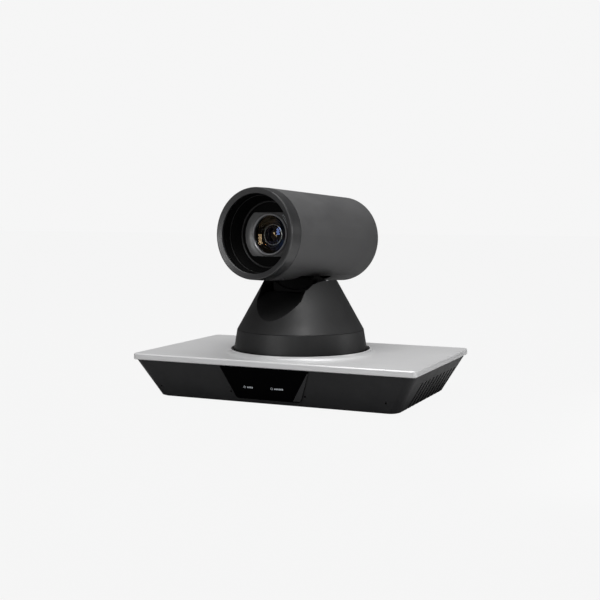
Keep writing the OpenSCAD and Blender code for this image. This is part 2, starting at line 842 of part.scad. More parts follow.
// The round lens block's flat-topped front, drawn from y_front to y_rear
module flat_disc(r, half, y_front, y_rear) {
    intersection() {
        translate([0, y_front, 0]) along_head() cylinder(r = r, h = y_rear - y_front);
        translate([-50, y_front, -half]) cube([100, y_rear - y_front, 2 * half]);
    }
}

module lens_bezel() {
    color([0.3, 0.3, 0.32]) tilt_place() difference() {
        flat_disc(bezel_r, bezel_half, bezel_y, bezel_y + bezel_t);
        translate([0, bezel_y - eps, 0]) along_head() cylinder(r1 = 21.6, r2 = 16.4, h = 1.1);
        translate([0, bezel_y - 1, 0]) along_head() cylinder(r = glass_r + 0.1, h = bezel_t + 2);
    }
}

module lens_housing() {
    y0 = bezel_y + bezel_t + 0.05;
    y1 = -17;
    y2 = 15.5;
    rear = 3;
    color([0.05, 0.05, 0.05]) tilt_place() difference() {
        union() {
            flat_disc(bezel_r - 0.3, bezel_half - 0.2, y0, y1);
            translate([0, y1 - 1, 0]) along_head() cylinder(r = tube_r, h = y2 - y1 + 1);
        }
        translate([0, y0 - 1, 0]) along_head() cylinder(r = tube_in, h = y2 - rear - y0 + 1);
        translate([0, 0, 0]) along_head() cylinder(r = 6, h = 20);
    }
}

module front_glass() {
    bulge = 3.4;
    r = glass_r;
    edge = 2.1;
    hollow_r = 13;
    apex = bezel_y + 0.3;
    ball = (r * r + bulge * bulge) / (2 * bulge);
    color([0.1, 0.12, 0.2, 0.5]) tilt_place() revolve_head() difference() {
        union() {
            intersection() {
                translate([0, apex + ball]) circle(r = ball);
                translate([0, apex]) square([r, bulge]);
            }
            translate([0, apex + bulge - eps]) square([r, edge]);
        }
        translate([0, apex + bulge + edge - 1 + hollow_r]) circle(r = hollow_r);
    }
}

// A disc that slides on the guide rods, with flats for the magnets and a lens seat
module carrier(y, t, seat_r) {
    translate([0, y, 0]) difference() {
        intersection() {
            along_head() cylinder(r = tube_in - 0.6, h = t);
            translate([-20, 0, -11.5]) cube([40, t, 23]);
        }
        translate([0, -1, 0]) along_head() cylinder(r = seat_r, h = t + 2);
        for (s = [-1, 1]) translate([s * rod_x, -1, 0]) along_head() cylinder(r = rod_r + running, h = t + 2);
    }
}

// A biconvex lens centred on y
module lens(y, r, bulge, edge) {
    ball = (r * r + bulge * bulge) / (2 * bulge);
    revolve_head() intersection() {
        translate([0, y - edge / 2 - bulge + ball]) circle(r = ball);
        translate([0, y + edge / 2 + bulge - ball]) circle(r = ball);
        translate([0, y - 10]) square([r, 20]);
    }
}

zoom_y = -30.5;
focus_y = -1.5;
iris_y = -13.5;
rods_y = -37.7;
rods_len = 49.5;

module zoom_carrier() {
    color([0.1, 0.1, 0.1]) tilt_place() carrier(zoom_y, 6, 9);
}

module zoom_lens() {
    color([0.4, 0.5, 0.6, 0.4]) tilt_place() lens(zoom_y + 3, 8.98, 1.4, 2);
}

module focus_carrier() {
    color([0.1, 0.1, 0.1]) tilt_place() carrier(focus_y, 5, 7.5);
}

module focus_lens() {
    color([0.4, 0.5, 0.6, 0.4]) tilt_place() lens(focus_y + 2.5, 7.48, 1.2, 1.6);
}

module iris() {
    color([0.06, 0.06, 0.06]) tilt_place() translate([0, iris_y, 0]) difference() {
        along_head() cylinder(r = tube_in - 0.02, h = 2);
        translate([0, -1, 0]) along_head() cylinder(r = 5, h = 4);
        for (s = [-1, 1]) {
            translate([s * rod_x, -1, 0]) along_head() cylinder(r = rod_r + running, h = 4);
            translate([-4.3, -1, s * 13.4 - 1.6]) cube([8.6, 4, 3.2]);
        }
    }
}

module guide_rods() {
    color([0.85, 0.85, 0.87]) tilt_place() for (s = [-1, 1])
        translate([s * rod_x, rods_y, 0]) along_head() cylinder(r = rod_r, h = rods_len);
}

module drive_magnets() {
    color([0.5, 0.5, 0.52]) tilt_place() for (s = [-1, 1])
        translate([-4, rods_y, s * 13.4 - 1.2]) cube([8, rods_len, 2.4]);
}

module sensor_board() {
    color([0.05, 0.3, 0.16]) tilt_place() {
        translate([-16, 15.6, -14]) cube([28, 1.6, 28]);
        translate([-4, 13.7, -3]) cube([8, 2, 6]);
    }
}

module head_frame() {
    top_z = 19.2;
    color([0.65, 0.65, 0.66]) tilt_place() difference() {
        union() {
            for (x = [cheek_x, -cheek_x - cheek_t]) translate([x, -9, -8]) cube([cheek_t, 18, top_z + 9]);
            translate([-cheek_x - cheek_t, -20, top_z]) cube([2 * (cheek_x + cheek_t), 70, 2]);
            translate([14.4, 17, -11]) cube([2, 27, top_z + 12]);
            for (y = [-14, 44]) translate([0, y, top_z + 1]) cylinder(r = 3, h = head_in - top_z - 1.2);
        }
        translate([-50, 0, 0]) rotate([0, 90, 0]) cylinder(r = pin_r + 1.6, h = 100);
        translate([12, pinion_y, 0]) rotate([0, 90, 0]) cylinder(r = 5, h = 6);
        translate([gear_x - 0.6, 4, top_z - 1]) cube([gear_t + 1.2, 18, 4]);
    }
}

module tilt_bushes() {
    color([0.75, 0.6, 0.3]) tilt_place() for (s = [-1, 1]) rotate([0, s * 90, 0])
        translate([0, 0, cheek_x - 0.3]) difference() {
            union() {
                cylinder(r = pin_r + 1.58, h = cheek_t + 0.3);
                translate([0, 0, cheek_t + 0.32]) cylinder(r = pin_r + 3, h = 1);
            }
            translate([0, 0, -1]) cylinder(r = pin_r + running, h = 10);
        }
}

module tilt_motor() {
    color([0.45, 0.45, 0.47]) tilt_place() translate([-6, pinion_y, 0]) rotate([0, 90, 0]) {
        cylinder(r = 10, h = 20.3);
        cylinder(r = 4.9, h = 22);
        cylinder(r = 1, h = gear_x + gear_t + 6.6);
    }
}

module tilt_pinion() {
    step = 360 / pinion_teeth;
    color([0.85, 0.83, 0.75]) tilt_place() translate([0, pinion_y, 0]) rotate([-4 * tilt_rest, 0, 0])
        difference() {
            in_gear_plane(gear_t) {
                circle(r = pinion_r - 1.2);
                for (i = [0:pinion_teeth - 1]) rotate(180 + step * (i + 0.5)) tooth(pinion_r);
            }
            rotate([0, 90, 0]) cylinder(r = 1 + running, h = 40);
        }
}

module head_board() {
    color([0.05, 0.3, 0.16]) tilt_place() difference() {
        translate([-19, 51, -20]) cube([38, 1.6, 40]);
        for (x = [-16, 16], z = [-17, 17]) translate([x, 50, z]) rotate([-90, 0, 0]) cylinder(r = 1.3, h = 4);
    }
}

base_tray();
top_plate();
front_window();
status_board();
status_leds();
ir_receiver();
microphones();
vent_screens();
main_board();
rear_panel();
dc_jack();
power_switch();
power_rocker();
sdi_jack();
hdmi_port();
usb_port();
lan_jack();
audio_jacks();
serial_jacks();
feet();
tripod_insert();
base_screws();
panel_screws();
pan_pedestal();
pan_bearings();
pan_motor();
pan_motor_pulley();
pan_belt();
turret_ring();
turret_shell();
turret_plate();
turret_pulley();
turret_screws();
yoke();
tilt_pins();
tilt_sector();
head_shell();
head_cover();
hood_ring();
lens_baffle();
lens_bezel();
lens_housing();
front_glass();
zoom_carrier();
zoom_lens();
iris();
focus_carrier();
focus_lens();
guide_rods();
drive_magnets();
sensor_board();
head_frame();
tilt_bushes();
tilt_motor();
tilt_pinion();
head_board();
head_screws();
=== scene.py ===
"""Looks for the pan-tilt-zoom conference camera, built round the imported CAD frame."""

import json
import math

import bmesh
import bpy
from mathutils import Matrix, Vector


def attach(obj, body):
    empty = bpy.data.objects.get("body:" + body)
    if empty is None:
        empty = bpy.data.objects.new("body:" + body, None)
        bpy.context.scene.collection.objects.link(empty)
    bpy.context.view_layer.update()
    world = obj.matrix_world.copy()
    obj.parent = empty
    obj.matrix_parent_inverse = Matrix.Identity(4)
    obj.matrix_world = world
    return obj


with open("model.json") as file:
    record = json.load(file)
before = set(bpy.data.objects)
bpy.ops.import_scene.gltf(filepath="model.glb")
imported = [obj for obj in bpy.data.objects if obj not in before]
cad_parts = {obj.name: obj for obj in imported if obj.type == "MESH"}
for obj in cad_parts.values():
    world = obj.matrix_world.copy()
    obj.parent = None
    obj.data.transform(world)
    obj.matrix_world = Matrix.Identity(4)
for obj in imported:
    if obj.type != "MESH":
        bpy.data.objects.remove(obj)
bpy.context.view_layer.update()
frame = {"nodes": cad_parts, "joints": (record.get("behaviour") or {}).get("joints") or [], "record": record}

MM = 0.001


# ---------------------------------------------------------------- the head's own axes

def joint(name):
    return next(j for j in frame["joints"] if j["name"] == name)


def axes_matrix(origin, x, y, z):
    m = Matrix((x, y, z)).transposed().to_4x4()
    m.translation = origin
    return m


TILT_ORIGIN = Vector(joint("tilt")["pos_m"])
TILT_X = -Vector(joint("tilt")["axis"]).normalized()
HEAD_Y = Vector(joint("zoom")["axis"]).normalized()
HEAD = axes_matrix(TILT_ORIGIN, TILT_X, HEAD_Y, TILT_X.cross(HEAD_Y))


def local_box(node, matrix):
    """Lowest and highest corner of a CAD node, measured along the axes of matrix."""
    inverse = matrix.inverted()
    points = [inverse @ v.co for v in frame["nodes"][node].data.vertices]
    low = Vector([min(p[i] for p in points) for i in range(3)])
    high = Vector([max(p[i] for p in points) for i in range(3)])
    return low, high


# ---------------------------------------------------------------- material kit

def shader(name):
    mat = bpy.data.materials.new(name)
    mat.use_nodes = True
    tree = mat.node_tree
    return mat, tree, tree.nodes["Principled BSDF"]


def feed(tree, socket, value):
    """Links a socket to another node's output, or sets it to a plain value."""
    if isinstance(value, bpy.types.NodeSocket):
        tree.links.new(value, socket)
    else:
        socket.default_value = value


def set_up(tree, node, **sockets):
    for key, value in sockets.items():
        feed(tree, node.inputs[key.replace("_", " ")], value)


def put(tree, kind, props=None, **sockets):
    """Adds a node, sets its properties and feeds its sockets by name."""
    made = tree.nodes.new("ShaderNode" + kind)
    for key, value in (props or {}).items():
        setattr(made, key, value)
    set_up(tree, made, **sockets)
    return made


def coords(tree, stretch=(1, 1, 1)):
    at = put(tree, "TexCoord").outputs["Object"]
    return put(tree, "Mapping", Vector=at, Scale=stretch).outputs[0]


def noise(tree, at, scale, detail=3.0, rough=0.5):
    return put(tree, "TexNoise", Vector=at, Scale=scale, Detail=detail, Roughness=rough).outputs["Fac"]


def remap(tree, value, low, high, start=0.3, end=0.7):
    """Stretches start..end to low..high, and holds it there beyond."""
    made = put(tree, "MapRange", {"clamp": True}, Value=value)
    for socket, number in zip(("From Min", "From Max", "To Min", "To Max"), (start, end, low, high)):
        made.inputs[socket].default_value = number
    return made.outputs[0]


def times(tree, a, b):
    made = put(tree, "Math", {"operation": "MULTIPLY"})
    feed(tree, made.inputs[0], a)
    feed(tree, made.inputs[1], b)
    return made.outputs[0]


def blend_color(tree, fac, a, b, mode="MIX"):
    made = put(tree, "Mix", {"data_type": "RGBA", "blend_type": mode})
    for index, value in ((0, fac), (6, a), (7, b)):
        feed(tree, made.inputs[index], value)
    return made.outputs[2]


def rgba(color, gain=1.0):
    return (color[0] * gain, color[1] * gain, color[2] * gain, 1)


def bump(tree, bsdf, height, strength, distance, round_edge=0.00025):
    """Surface grain over edges that catch the light as if lightly rounded."""
    rounded = put(tree, "Bevel", {"samples": 4}, Radius=round_edge).outputs[0]
    made = put(tree, "Bump", Height=height, Strength=strength, Distance=distance, Normal=rounded)
    set_up(tree, bsdf, Normal=made.outputs[0])


def edge_mask(tree, low=0.52, high=0.58):
    """White on convex edges."""
    point = put(tree, "NewGeometry").outputs["Pointiness"]
    return remap(tree, point, 0, 1, low, high)


def painted_nook_shade(tree, reach, low):
    """Painted shade: an ambient-occlusion factor, 1 in the open, falling to low in nooks and gaps about as
    deep as the given reach.
    """
    open_sky = put(tree, "AmbientOcclusion", {"samples": 6}, Distance=reach).outputs["AO"]
    return remap(tree, open_sky, low, 1, 0.25, 0.95)


def moulded(name, color, rough=0.5, grain=2600, depth=0.25, tone=0.1, wear=0.25, specular=0.5, coat=0.0,
            reach=0.0, nook=0.2):
    """Textured moulded plastic: fine grain, slow tone drift and lighter rubbed edges.

    With a reach, its nooks and gaps get painted shade: the colour and the specular level are multiplied by
    the ambient-occlusion factor. The export drops a linked specular level, so the plain value is set first
    and stays on the socket.
    """
    mat, tree, bsdf = shader(name)
    at = coords(tree)
    fine = noise(tree, at, grain, 4, 0.6)
    broad = noise(tree, at, 22, 3)
    smear = noise(tree, at, 60, 5, 0.7)
    base = blend_color(tree, remap(tree, broad, 0, 1), rgba(color, 1 - tone), rgba(color, 1 + tone))
    speck = blend_color(tree, remap(tree, fine, 0, 0.35, 0.45, 0.75), base, rgba(color, 1.6))
    rubbed = times(tree, edge_mask(tree), remap(tree, smear, 0.2, 1.0))
    pale = rgba([c * 2.2 + 0.02 for c in color])
    worn = blend_color(tree, remap(tree, rubbed, 0, wear, 0, 1), speck, pale)
    set_up(tree, bsdf, Base_Color=worn, Roughness=remap(tree, smear, rough - 0.05, rough + 0.07),
           Specular_IOR_Level=specular, Coat_Weight=coat, Coat_Roughness=0.25)
    # painted shade: colour and specular level darkened by ambient occlusion in nooks and gaps
    if reach:
        clear = painted_nook_shade(tree, reach, nook)
        tint = put(tree, "CombineColor", Red=clear, Green=clear, Blue=clear).outputs[0]
        set_up(tree, bsdf, Base_Color=blend_color(tree, 1.0, worn, tint, "MULTIPLY"),
               Specular_IOR_Level=times(tree, clear, specular))
    bump(tree, bsdf, fine, depth, 0.00008)
    return mat


def metal(name, color, rough=0.3, grain=3500, depth=0.12, stretch=(1, 1, 1), metallic=1.0):
    """Bare, blasted, brushed or plated metal: grain stretched along the finish, and brighter edges."""
    mat, tree, bsdf = shader(name)
    fine = noise(tree, coords(tree, stretch), grain, 4, 0.65)
    broad = noise(tree, coords(tree), 15, 4, 0.6)
    base = blend_color(tree, remap(tree, broad, 0, 1), rgba(color, 0.96), rgba(color, 1.04))
    grit = blend_color(tree, remap(tree, fine, 0, 0.3), base, rgba(color, 0.82))
    bright = blend_color(tree, remap(tree, edge_mask(tree), 0, 0.35, 0, 1), grit, rgba(color, 1.15))
    set_up(tree, bsdf, Base_Color=bright, Roughness=remap(tree, fine, rough - 0.05, rough + 0.08),
           Metallic=metallic)
    bump(tree, bsdf, fine, depth, 0.00003)
    return mat


def gloss(name, color, rough=0.06, specular=0.5):
    """Polished plastic with faint smudges and hairline scratches."""
    mat, tree, bsdf = shader(name)
    smudge = noise(tree, coords(tree), 45, 5, 0.65)
    hair = noise(tree, coords(tree, (1, 14, 3)), 900, 3, 0.7)
    base = blend_color(tree, remap(tree, smudge, 0, 1), rgba(color, 0.85), rgba(color, 1.2))
    set_up(tree, bsdf, Base_Color=base, Roughness=remap(tree, smudge, rough * 0.6, rough * 2.2),
           Coat_Roughness=0.05, Specular_IOR_Level=specular)
    bump(tree, bsdf, hair, 0.03, 0.00002)
    return mat


def rubber(name, color):
    return moulded(name, color, rough=0.8, grain=1400, depth=0.45, tone=0.15, wear=0.15, specular=0.3)


def circuit(name):
    """Green solder mask with copper tracks under it and pale silk-screen specks."""
    bare, over_track, silk = (0.012, 0.11, 0.05, 1), (0.03, 0.2, 0.09, 1), (0.62, 0.55, 0.36, 1)
    mat, tree, bsdf = shader(name)
    at = coords(tree)
    cells = put(tree, "TexVoronoi", {"distance": "MANHATTAN"}, Vector=at, Scale=420).outputs["Distance"]
    tracks = put(tree, "TexWave", {"wave_type": "BANDS"}, Vector=at, Scale=260, Distortion=6.0,
                 Detail=2.0).outputs["Fac"]
    mask = blend_color(tree, remap(tree, tracks, 0, 1, 0.45, 0.55), bare, over_track)
    pads = blend_color(tree, remap(tree, cells, 1, 0, 0.05, 0.09), mask, silk)
    set_up(tree, bsdf, Base_Color=pads, Roughness=remap(tree, cells, 0.3, 0.5))
    bump(tree, bsdf, tracks, 0.2, 0.00004)
    return mat


def glass(name, tint, film_nm):
    """Coated optical glass. The thin film gives the coloured reflections of the coating."""
    mat, tree, bsdf = shader(name)
    at = coords(tree)
    dust = noise(tree, at, 900, 4, 0.75)
    base = blend_color(tree, remap(tree, noise(tree, at, 60, 3), 0, 1), rgba(tint, 0.97), rgba(tint))
    set_up(tree, bsdf, Base_Color=base, Roughness=remap(tree, dust, 0.0, 0.02, 0.6, 0.8),
           Transmission_Weight=1.0, IOR=1.6, Thin_Film_Thickness=film_nm, Thin_Film_IOR=1.38)
    return mat


# ---------------------------------------------------------------- the finishes

FINISH = {}


def finish(kind, name, *values, **look):
    FINISH[name] = kind(name, *values, **look)


# the material slots of the CAD
finish(moulded, "base_plastic", (0.011, 0.011, 0.012), rough=0.42, grain=2400, depth=0.2, specular=0.3)
finish(metal, "plate_aluminium", (0.70, 0.70, 0.705), rough=0.36, grain=4200, depth=0.1, metallic=0.2)
finish(gloss, "window_gloss", (0.0004, 0.0004, 0.0007), rough=0.04, specular=0.02)
finish(circuit, "circuit_board")
finish(gloss, "led_lens", (0.55, 0.7, 0.62), rough=0.2)
finish(moulded, "vent_mesh", (0.010, 0.010, 0.010), rough=0.7, grain=900, depth=0.8)
finish(moulded, "jack_plastic", (0.02, 0.02, 0.021), rough=0.45)
finish(moulded, "switch_plastic", (0.015, 0.015, 0.016), rough=0.28, depth=0.08, coat=0.2)
finish(metal, "port_metal", (0.62, 0.60, 0.56), rough=0.24, stretch=(1, 1, 9), grain=2200)
finish(rubber, "foot_rubber", (0.02, 0.02, 0.02))
finish(metal, "brass_bush", (0.72, 0.52, 0.24), rough=0.25, stretch=(1, 1, 14), grain=1500)
finish(metal, "dark_screw", (0.08, 0.08, 0.085), rough=0.35)
finish(metal, "bright_screw", (0.6, 0.6, 0.6), rough=0.25)
finish(moulded, "black_casting", (0.005, 0.005, 0.005), rough=0.6, grain=1500, depth=0.4, wear=0.05,
       specular=0.1)
finish(metal, "cast_frame", (0.5, 0.5, 0.51), rough=0.5, grain=1800, depth=0.4)
finish(metal, "sheet_frame", (0.58, 0.58, 0.59), rough=0.3, stretch=(10, 1, 1), grain=1200)
finish(metal, "bearing_steel", (0.7, 0.7, 0.72), rough=0.15, stretch=(1, 1, 20), grain=1200)
finish(metal, "motor_case", (0.16, 0.16, 0.17), rough=0.4, grain=2500)
finish(metal, "pulley_aluminium", (0.7, 0.7, 0.71), rough=0.25, stretch=(1, 1, 12), grain=1500)
finish(rubber, "belt_rubber", (0.018, 0.018, 0.018))
# painted shade in nooks and gaps for the turret, head and hood plastics: the dark under the head's belly and
# inside the hood
finish(moulded, "turret_plastic", (0.007, 0.007, 0.0075), rough=0.5, grain=2400, depth=0.2, wear=0.15,
       specular=0.7, reach=0.03, nook=0.08)
finish(moulded, "gear_plastic", (0.72, 0.70, 0.62), rough=0.4, grain=1500, depth=0.1, tone=0.04)
finish(moulded, "head_plastic", (0.062, 0.062, 0.063), rough=0.5, grain=2400, depth=0.25, reach=0.05,
       nook=0.03)
finish(moulded, "hood_plastic", (0.020, 0.020, 0.021), rough=0.34, grain=2400, depth=0.2, specular=0.8,
       reach=0.05, nook=0.08)
finish(moulded, "baffle_black", (0.0015, 0.0015, 0.0015), rough=0.6, grain=1600, depth=0.3, wear=0.03,
       specular=0.06)
finish(moulded, "bezel_plastic", (0.035, 0.035, 0.036), rough=0.36, grain=3000, depth=0.08, specular=0.8)
finish(glass, "lens_glass", (0.90, 0.94, 0.93), 115)
finish(metal, "magnet_metal", (0.55, 0.55, 0.56), rough=0.2)

# finishes that only the pieces added below use
finish(moulded, "print_white", (0.62, 0.66, 0.70), rough=0.55, grain=5000, depth=0.1, wear=0.0)
finish(metal, "gold_contact", (0.80, 0.58, 0.22), rough=0.2, stretch=(1, 12, 1), grain=1500)
finish(moulded, "ptfe", (0.70, 0.68, 0.62), rough=0.5, grain=2600, depth=0.1, tone=0.03)
finish(moulded, "green_ring", (0.10, 0.36, 0.10), rough=0.4, grain=2600, depth=0.1)
finish(moulded, "rose_ring", (0.55, 0.16, 0.22), rough=0.4, grain=2600, depth=0.1)
finish(gloss, "amber_pipe", (0.75, 0.42, 0.05), rough=0.2)
finish(gloss, "green_pipe", (0.12, 0.55, 0.12), rough=0.2)
finish(moulded, "label_film", (0.42, 0.43, 0.44), rough=0.35, grain=3500, depth=0.05, tone=0.03, wear=0.0)
finish(moulded, "satin_black", (0.006, 0.006, 0.006), rough=0.34, grain=3000, depth=0.05, wear=0.0,
       specular=0.45)
# painted light: a lighter matte plastic for a flat strip that stands in for the window's lit bevelled edge
finish(moulded, "facet_plastic", (0.014, 0.014, 0.015), rough=0.35, grain=2600, depth=0.1, specular=0.4)
finish(metal, "retainer_metal", (0.30, 0.30, 0.31), rough=0.3, grain=2600, metallic=0.6)

for row in frame["record"]["subparts"]:
    shape = frame["nodes"][row["node"]]
    shape.data.materials.clear()
    shape.data.materials.append(FINISH[row["material_slot"]])


# ---------------------------------------------------------------- shapes, drawn in millimetres

def leant(place, angle):
    """Axes at a place, turned about X."""
    return Matrix.Translation(Vector(place) * MM) @ Matrix.Rotation(angle, 4, "X")


def solid(name, body, look, matrix, verts, faces, stays_sharp=35):
    """Puts a closed shape into the shared frame, in one of the finishes, and makes it ride on a body."""
    mesh = bpy.data.meshes.new(name)
    mesh.from_pydata([matrix @ (Vector(v) * MM) for v in verts], [], faces)
    edit = bmesh.new()
    edit.from_mesh(mesh)
    bmesh.ops.recalc_face_normals(edit, faces=edit.faces)
    edit.to_mesh(mesh)
    edit.free()
    mesh.shade_smooth()
    mesh.set_sharp_from_angle(angle=math.radians(stays_sharp))
    mesh.materials.append(FINISH[look])
    made = bpy.data.objects.new(name, mesh)
    bpy.context.scene.collection.objects.link(made)
    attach(made, body)
    return made


def turned(name, body, look, matrix, profile_at, steps, stays_sharp=35):
    """Turns a closed profile of (radius, y) round the Y axis. profile_at gives it for each angle."""
    rows = len(profile_at(0))
    verts, faces = [], []
    for i in range(steps):
        a = 2 * math.pi * i / steps
        verts += [(r * math.cos(a), y, r * math.sin(a)) for r, y in profile_at(a)]
        here, there = i * rows, (i + 1) % steps * rows
        faces += [(here + k, here + (k + 1) % rows, there + (k + 1) % rows, there + k) for k in range(rows)]
    return solid(name, body, look, matrix, verts, faces, stays_sharp)


def lathe(name, body, look, matrix, profile, steps=128):
    return turned(name, body, look, matrix, lambda angle: profile, steps)


def tube(r_in, r_out, y_low, y_high):
    """Profile of a plain tube."""
    return [(r_in, y_low), (r_out, y_low), (r_out, y_high), (r_in, y_high)]


def bead(radius, y, thick, sides=10):
    """Profile of a round bead."""
    turn = [2 * math.pi * k / sides for k in range(sides)]
    return [(radius + thick * math.cos(a), y + thick * math.sin(a)) for a in turn]


def prism(name, body, look, matrix, outline, y_low, y_high):
    """Pulls an outline of (x, z) along Y."""
    n = len(outline)
    verts = [(x, y_low, z) for x, z in outline] + [(x, y_high, z) for x, z in outline]
    faces = [tuple(range(n)), tuple(range(2 * n - 1, n - 1, -1))]
    faces += [(k, (k + 1) % n, n + (k + 1) % n, n + k) for k in range(n)]
    return solid(name, body, look, matrix, verts, faces)


def joined(name, body, pieces):
    """Joins several pieces of one finish into one object."""
    edit = bmesh.new()
    for piece in pieces:
        edit.from_mesh(piece.data)
    mesh = pieces[0].data.copy()
    edit.to_mesh(mesh)
    edit.free()
    for piece in pieces:
        bpy.data.objects.remove(piece)
    made = bpy.data.objects.new(name, mesh)
    bpy.context.scene.collection.objects.link(made)
    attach(made, body)
    return made


def rectangle(x, z, w, h, corner=0.0, steps=5):
    """Outline of a rectangle centred on (x, z), with rounded corners if asked."""
    if corner == 0:
        left, right, low, high = x - w / 2, x + w / 2, z - h / 2, z + h / 2
        return [(left, low), (right, low), (right, high), (left, high)]
    points = []
    for quarter, (sx, sz) in enumerate(((1, 1), (-1, 1), (-1, -1), (1, -1))):
        for k in range(steps + 1):
            a = math.pi / 2 * (quarter + k / steps)
            points.append((x + sx * (w / 2 - corner) + corner * math.cos(a),
                           z + sz * (h / 2 - corner) + corner * math.sin(a)))
    return points


def arc_band(x, z, r_in, r_out, start, end, steps=20):
    """Outline of a part of a ring, angles in degrees."""
    turn = [math.radians(start + (end - start) * k / steps) for k in range(steps + 1)]
    outer = [(x + r_out * math.cos(a), z + r_out * math.sin(a)) for a in turn]
    return outer + [(x + r_in * math.cos(a), z + r_in * math.sin(a)) for a in reversed(turn)]


# ---------------------------------------------------------------- the lens and its hood

HOOD_Y = local_box("hood_ring", HEAD)[0].y / MM
BEZEL_Y = local_box("lens_bezel", HEAD)[0].y / MM
GLASS_REAR = local_box("front_glass", HEAD)[1].y / MM
GLASS_R = local_box("front_glass", HEAD)[1].x / MM

# the lens block's front: a round face, cut flat above and below, hollowed towards the glass
BLOCK_R, BLOCK_FLAT = 22.3, 17.0
DISH_R = GLASS_R + 1.2
DISH_FLOOR = BEZEL_Y + 1.0
DISH_RISE, DISH_CURVE = 1.9, 1.6

# rows of ticks: radius, length and count
TICK_ROWS = ((17.9, 0.9, 7), (19.5, 1.2, 8))
TICK_START, TICK_STEP = 14, 5.2


def dish_y(r):
    """Where the hollowed face lies at radius r."""
    return DISH_FLOOR - DISH_RISE * ((r - DISH_R) / (BLOCK_R - DISH_R)) ** DISH_CURVE


def dished_face(rows=10):
    """The lens block's hollowed front with a turned-over rim."""
    def profile(a):
        edge = min(BLOCK_R, BLOCK_FLAT / max(abs(math.sin(a)), 1e-6))
        radii = [DISH_R + (edge - DISH_R) * k / rows for k in range(rows + 1)]
        crest = dish_y(radii[-1])
        rim = [(edge + 0.15, crest + 0.15), (edge + 0.18, crest + 0.6), (edge + 0.18, BEZEL_Y + 0.9)]
        return [(DISH_R, DISH_FLOOR + 0.3)] + [(r, dish_y(r)) for r in radii] + rim + [
            (edge - 0.3, DISH_FLOOR + 0.3)]

    turned("bezel_face", "head", "bezel_plastic", HEAD, profile, 144, 50)


def ring(name, look, profile):
    lathe(name, "head", look, HEAD, profile)


def ridged_wall(name, front, rear, count):
    """A wall with fine anti-glare ridges inside. Its ends are (y, inner radius, outer radius)."""
    points = []
    for k in range(2 * count + 1):
        t = k / (2 * count)
        groove = 0.35 if k % 2 else 0.05
        points.append((front[1] + (rear[1] - front[1]) * t - groove, front[0] + (rear[0] - front[0]) * t))
    ring(name, "baffle_black", points + [(rear[2], rear[0]), (front[2], front[0])])


def make_lens():
    """Ring details in front of and behind the front glass."""
    ridged_wall("hood_ridges", (HOOD_Y + 5.0, 31.0, 31.4), (HOOD_Y + 10.2, 30.65, 31.1), 5)
    ridged_wall("funnel_ridges", (HOOD_Y + 12.4, 29.55, 30.1), (HOOD_Y + 20.4, 26.75, 27.3), 6)
    ring("step_bead", "satin_black", bead(30.25, HOOD_Y + 11.0, 0.30))
    ring("floor_bead", "satin_black", bead(26.0, HOOD_Y + 21.3, 0.85))
    dished_face()
    r = GLASS_R
    ring("glass_retainer", "retainer_metal", [
        (r - 0.5, BEZEL_Y + 0.9), (r - 0.4, BEZEL_Y + 0.3), (r, BEZEL_Y - 0.1), (r + 0.7, BEZEL_Y - 0.15),
        (r + 1.15, BEZEL_Y + 0.3), (r + 1.15, BEZEL_Y + 1.05), (r + 0.1, BEZEL_Y + 1.05)])
    rear = GLASS_REAR + 0.1
    ring("lens_mask", "baffle_black", [
        (15.3, rear), (11.7, rear), (11.5, rear + 0.5), (9.2, rear + 0.6), (9.0, rear + 1.1),
        (7.6, rear + 1.2), (7.6, rear + 1.8), (15.3, rear + 1.8)])
    ring("inner_ring", "port_metal", [
        (7.05, rear + 1.0), (7.3, rear + 0.7), (7.6, rear + 0.8), (7.6, rear + 1.8), (7.05, rear + 1.8)])
    ring("middle_bead", "satin_black", bead(11.6, rear + 0.35, 0.22))


def make_ticks():
    """Two rows of plain ticks on the hollowed face."""
    ticks = []
    for radius, length, count in TICK_ROWS:
        for k in range(count):
            spot = HEAD @ Matrix.Rotation(-math.radians(TICK_START + TICK_STEP * k), 4, "Y")
            ticks.append(prism("tick", "head", "print_white", spot, rectangle(radius, 0, length, 0.32),
                               dish_y(radius) - 0.3, dish_y(radius) + 0.3))
    joined("bezel_ticks", "head", ticks)


# ---------------------------------------------------------------- the front window

# the sloping front's own axes: x along it and z up its slope
FRONT_FOOT = (-2.1, -57.3, 0.9)
FRONT_LEAN = math.atan2(10.9, 30.5)
FRONT = leant(FRONT_FOOT, FRONT_LEAN)
WINDOW_FACE = -0.7
POWER_SYMBOL, STANDBY_SYMBOL = (-18.9, 14.6), (4.6, 14.8)
# rows of bars: first x, z and count
BAR_ROWS = ((-16.2, 14.5, 4), (7.3, 14.7, 6))
BAR_STEP = 1.3


def make_window():
    """Two indicator symbols with a row of plain bars each, and a flat lighter strip on the window's
    right-hand edge: painted light standing in for a bevel that catches the light.
    """
    top, under = WINDOW_FACE - 0.04, WINDOW_FACE + 0.1
    marks = [arc_band(*POWER_SYMBOL, 0.72, 1.0, 120, 420), rectangle(POWER_SYMBOL[0], 15.5, 0.3, 1.2),
             arc_band(*STANDBY_SYMBOL, 0.72, 1.0, 0, 180), arc_band(*STANDBY_SYMBOL, 0.72, 1.0, 180, 360)]
    for first_x, z, count in BAR_ROWS:
        marks += [rectangle(first_x + BAR_STEP * k, z, 0.9, 1.3, 0.2) for k in range(count)]
    joined("window_marks", "base", [
        prism("mark", "base", "print_white", FRONT, m, top, under) for m in marks])
    # painted light: a flat lighter strip in the window's face, in place of a bevel that catches the light
    facet = [(21.2, 5.0), (27.2, 5.0), (28.6, 6.9), (37.6, 30.4), (36.9, 30.4)]
    prism("window_facet_painted_light", "base", "facet_plastic", FRONT, facet, top, under)


# ---------------------------------------------------------------- the sockets at the rear

